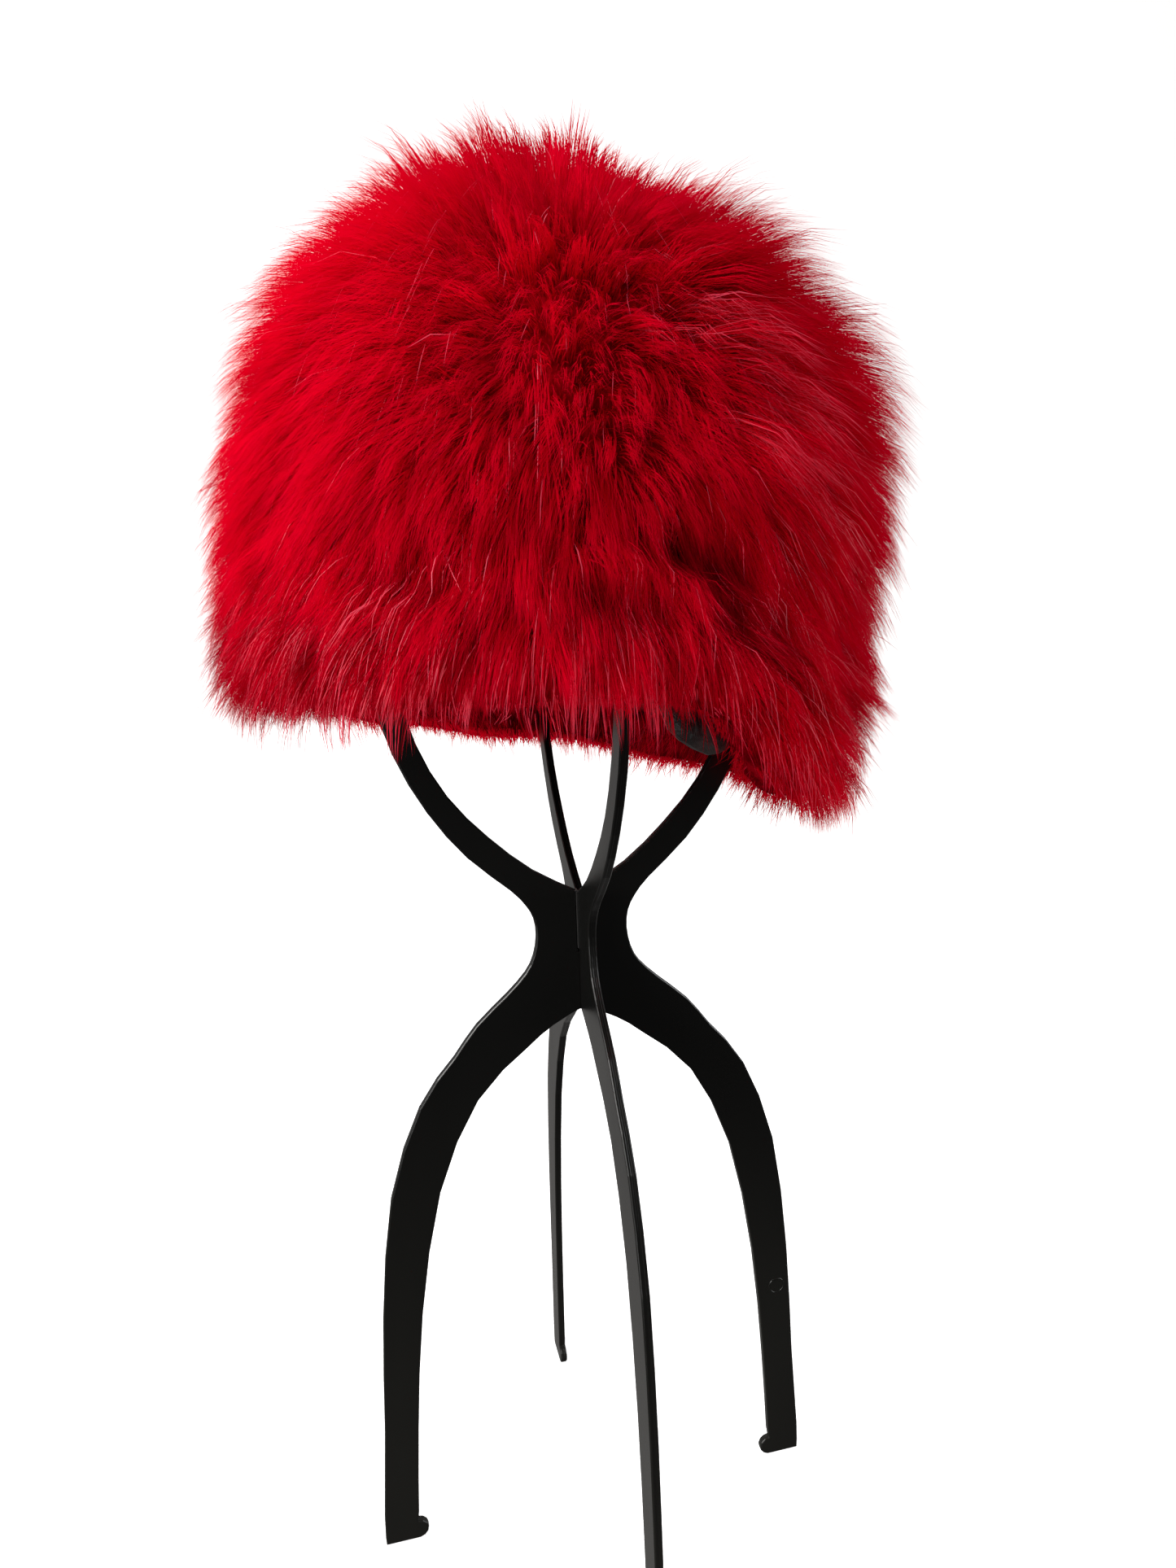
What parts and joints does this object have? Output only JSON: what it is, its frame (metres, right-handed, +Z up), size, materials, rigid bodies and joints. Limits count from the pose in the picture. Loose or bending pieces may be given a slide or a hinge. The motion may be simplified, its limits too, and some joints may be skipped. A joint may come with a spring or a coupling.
{
  "type": "fur beanie on a folding stand",
  "caption": "Long-pile fur beanie with a turned-in fur hem and thin lining, resting on a plain folding stand of slotted plates.",
  "frame": {"origin": "on the ground, under the middle of the whole part's box", "axes": "+Z up, +X to the right as seen from the front, -Y towards the front, where the hem is highest"},
  "size_m": [0.2228, 0.2394, 0.4923],
  "materials": {
    "fur": "long glossy red pile with pale single hairs",
    "backing": "matte knit",
    "lining": "thin dark woven cloth",
    "stand": "satin moulded black"
  },
  "bodies": {
    "root": {"fur_pile": "fur", "cap_backing": "backing", "cap_lining": "lining", "stand_side_plate": "stand", "stand_front_plate": "stand"}
  },
  "joints": []
}
